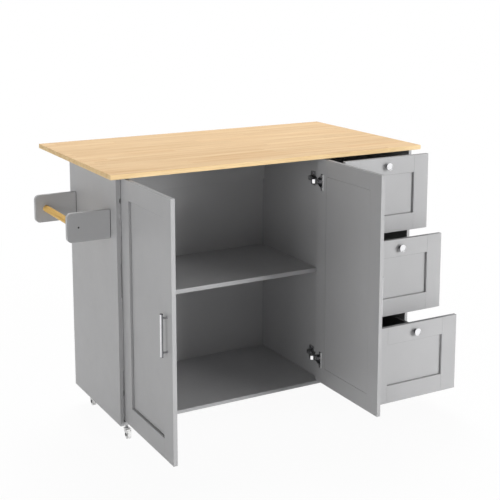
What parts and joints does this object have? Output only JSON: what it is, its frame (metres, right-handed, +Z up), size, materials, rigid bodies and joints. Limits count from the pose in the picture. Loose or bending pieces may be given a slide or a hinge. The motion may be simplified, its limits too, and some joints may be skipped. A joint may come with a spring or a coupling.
{
  "type": "kitchen island unit",
  "caption": "Rolling kitchen island: inset framed doors and drawers under an overhanging wooden worktop, with an inner shelf and a side towel rack.",
  "frame": {"origin": "on the floor, in the middle of the footprint as the unit stands in the picture, with both doors open by 90 degrees", "axes": "+X to the right along the front, +Y from the front to the back, +Z up"},
  "size_m": [1.316, 1.026, 0.914],
  "materials": {
    "grey_paint": "board with satin light grey paint",
    "countertop_wood": "pale clear-finished staves",
    "dowel_wood": "golden clear-finished dowel",
    "drawer_board": "board with matt grey surface",
    "chrome": "polished",
    "nickel": "nickel plated",
    "coated_steel": "white powder coat",
    "nylon": "pale moulded plastic"
  },
  "bodies": {
    "cabinet": {"left_side_panel": "grey_paint", "right_side_panel": "grey_paint", "partition_panel": "grey_paint", "back_panel": "grey_paint", "back_top_rail": "grey_paint", "bottom_panel": "grey_paint", "shelf": "grey_paint", "countertop": "countertop_wood", "left_upper_hinge_arm": "nickel", "left_lower_hinge_arm": "nickel", "right_upper_hinge_arm": "nickel", "right_lower_hinge_arm": "nickel", "bottom_drawer_left_cabinet_rail": "coated_steel", "bottom_drawer_right_cabinet_rail": "coated_steel", "middle_drawer_left_cabinet_rail": "coated_steel", "middle_drawer_right_cabinet_rail": "coated_steel", "top_drawer_left_cabinet_rail": "coated_steel", "top_drawer_right_cabinet_rail": "coated_steel", "towel_rack_front_bracket": "grey_paint", "towel_rack_rear_bracket": "grey_paint", "towel_rack_dowel": "dowel_wood"},
    "left_door": {"left_door_frame": "grey_paint", "left_door_panel": "grey_paint", "left_door_handle": "chrome", "left_upper_hinge_cup": "nickel", "left_lower_hinge_cup": "nickel"},
    "right_door": {"right_door_frame": "grey_paint", "right_door_panel": "grey_paint", "right_door_handle": "chrome", "right_upper_hinge_cup": "nickel", "right_lower_hinge_cup": "nickel"},
    "bottom_drawer": {"bottom_drawer_front_frame": "grey_paint", "bottom_drawer_front_panel": "grey_paint", "bottom_drawer_knob": "chrome", "bottom_drawer_box": "drawer_board", "bottom_drawer_bottom": "drawer_board", "bottom_drawer_left_drawer_rail": "coated_steel", "bottom_drawer_right_drawer_rail": "coated_steel"},
    "middle_drawer": {"middle_drawer_front_frame": "grey_paint", "middle_drawer_front_panel": "grey_paint", "middle_drawer_knob": "chrome", "middle_drawer_box": "drawer_board", "middle_drawer_bottom": "drawer_board", "middle_drawer_left_drawer_rail": "coated_steel", "middle_drawer_right_drawer_rail": "coated_steel"},
    "top_drawer": {"top_drawer_front_frame": "grey_paint", "top_drawer_front_panel": "grey_paint", "top_drawer_knob": "chrome", "top_drawer_box": "drawer_board", "top_drawer_bottom": "drawer_board", "top_drawer_left_drawer_rail": "coated_steel", "top_drawer_right_drawer_rail": "coated_steel"},
    "caster_front_left_swivel_body": {"caster_front_left_fork": "nylon"},
    "caster_front_left_wheel_body": {"caster_front_left_wheel": "nylon"},
    "caster_front_right_swivel_body": {"caster_front_right_fork": "nylon"},
    "caster_front_right_wheel_body": {"caster_front_right_wheel": "nylon"},
    "caster_rear_left_swivel_body": {"caster_rear_left_fork": "nylon"},
    "caster_rear_left_wheel_body": {"caster_rear_left_wheel": "nylon"},
    "caster_rear_right_swivel_body": {"caster_rear_right_fork": "nylon"},
    "caster_rear_right_wheel_body": {"caster_rear_right_wheel": "nylon"}
  },
  "joints": [
    {"name": "left_door_hinge", "type": "hinge", "parent": "cabinet", "child": "left_door", "pos_m": [-0.4915, -0.139, 0.4875], "axis": [0, 0, -1], "range_deg": [-90, 15]},
    {"name": "right_door_hinge", "type": "hinge", "parent": "cabinet", "child": "right_door", "pos_m": [0.2585, -0.139, 0.4875], "axis": [0, 0, 1], "range_deg": [-90, 3]},
    {"name": "bottom_drawer_slide", "type": "slide", "parent": "cabinet", "child": "bottom_drawer", "axis": [0, -1, 0], "range_m": [-0.296, 0.014]},
    {"name": "middle_drawer_slide", "type": "slide", "parent": "cabinet", "child": "middle_drawer", "axis": [0, -1, 0], "range_m": [-0.201, 0.109]},
    {"name": "top_drawer_slide", "type": "slide", "parent": "cabinet", "child": "top_drawer", "axis": [0, -1, 0], "range_m": [-0.116, 0.194]},
    {"name": "caster_front_left_swivel", "type": "hinge", "parent": "cabinet", "child": "caster_front_left_swivel_body", "pos_m": [-0.469, -0.088, 0.05], "axis": [0, 0, 1], "continuous": true},
    {"name": "caster_front_left_roll", "type": "hinge", "parent": "caster_front_left_swivel_body", "child": "caster_front_left_wheel_body", "pos_m": [-0.469, -0.101, 0.01493], "axis": [1, 0, 0], "continuous": true},
    {"name": "caster_front_right_swivel", "type": "hinge", "parent": "cabinet", "child": "caster_front_right_swivel_body", "pos_m": [0.609, -0.088, 0.05], "axis": [0, 0, 1], "continuous": true},
    {"name": "caster_front_right_roll", "type": "hinge", "parent": "caster_front_right_swivel_body", "child": "caster_front_right_wheel_body", "pos_m": [0.609, -0.101, 0.01493], "axis": [1, 0, 0], "continuous": true},
    {"name": "caster_rear_left_swivel", "type": "hinge", "parent": "cabinet", "child": "caster_rear_left_swivel_body", "pos_m": [-0.469, 0.232, 0.05], "axis": [0, 0, 1], "continuous": true},
    {"name": "caster_rear_left_roll", "type": "hinge", "parent": "caster_rear_left_swivel_body", "child": "caster_rear_left_wheel_body", "pos_m": [-0.469, 0.219, 0.01493], "axis": [1, 0, 0], "continuous": true},
    {"name": "caster_rear_right_swivel", "type": "hinge", "parent": "cabinet", "child": "caster_rear_right_swivel_body", "pos_m": [0.609, 0.232, 0.05], "axis": [0, 0, 1], "continuous": true},
    {"name": "caster_rear_right_roll", "type": "hinge", "parent": "caster_rear_right_swivel_body", "child": "caster_rear_right_wheel_body", "pos_m": [0.609, 0.219, 0.01493], "axis": [1, 0, 0], "continuous": true}
  ]
}
